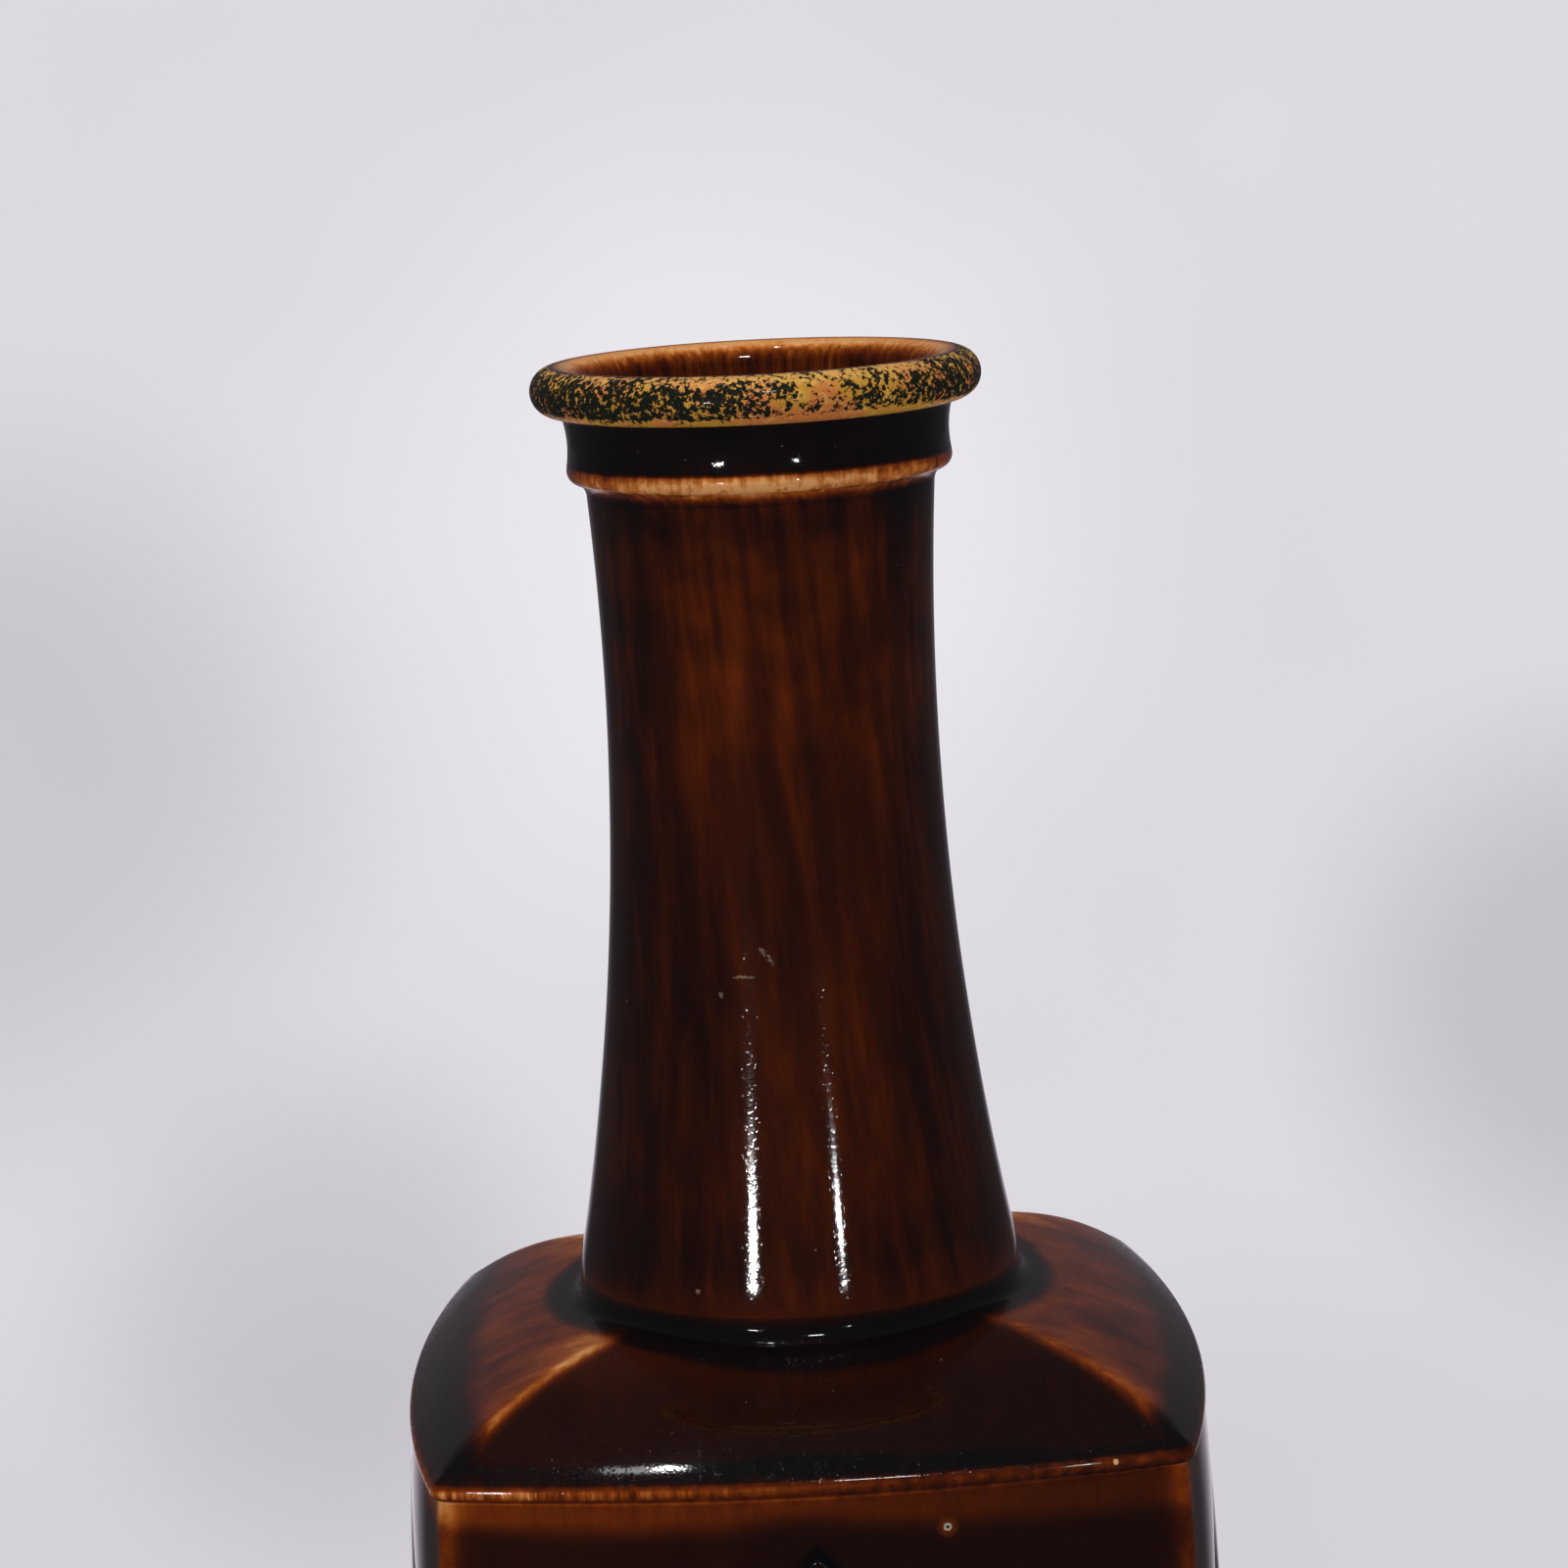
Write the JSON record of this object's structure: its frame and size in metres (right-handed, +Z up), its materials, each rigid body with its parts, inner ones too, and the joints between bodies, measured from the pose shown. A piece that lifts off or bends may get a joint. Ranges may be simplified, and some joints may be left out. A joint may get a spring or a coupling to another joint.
{
  "type": "square vase",
  "caption": "Tall glazed ceramic vase with a square bow-sided body, hipped shoulder, long waisted round neck, bead and rolled rim.",
  "frame": {"origin": "middle of the foot, on the surface that the vase stands on", "axes": "+Z up the neck; X and Y square to the four sides, with the pictured side facing -Y"},
  "size_m": [0.1368, 0.1368, 0.3356],
  "materials": {
    "glaze": "glossy dark brown glaze, amber where it thins over edges, with a worn gilt rim"
  },
  "bodies": {
    "root": {"vase": "glaze"}
  },
  "joints": []
}
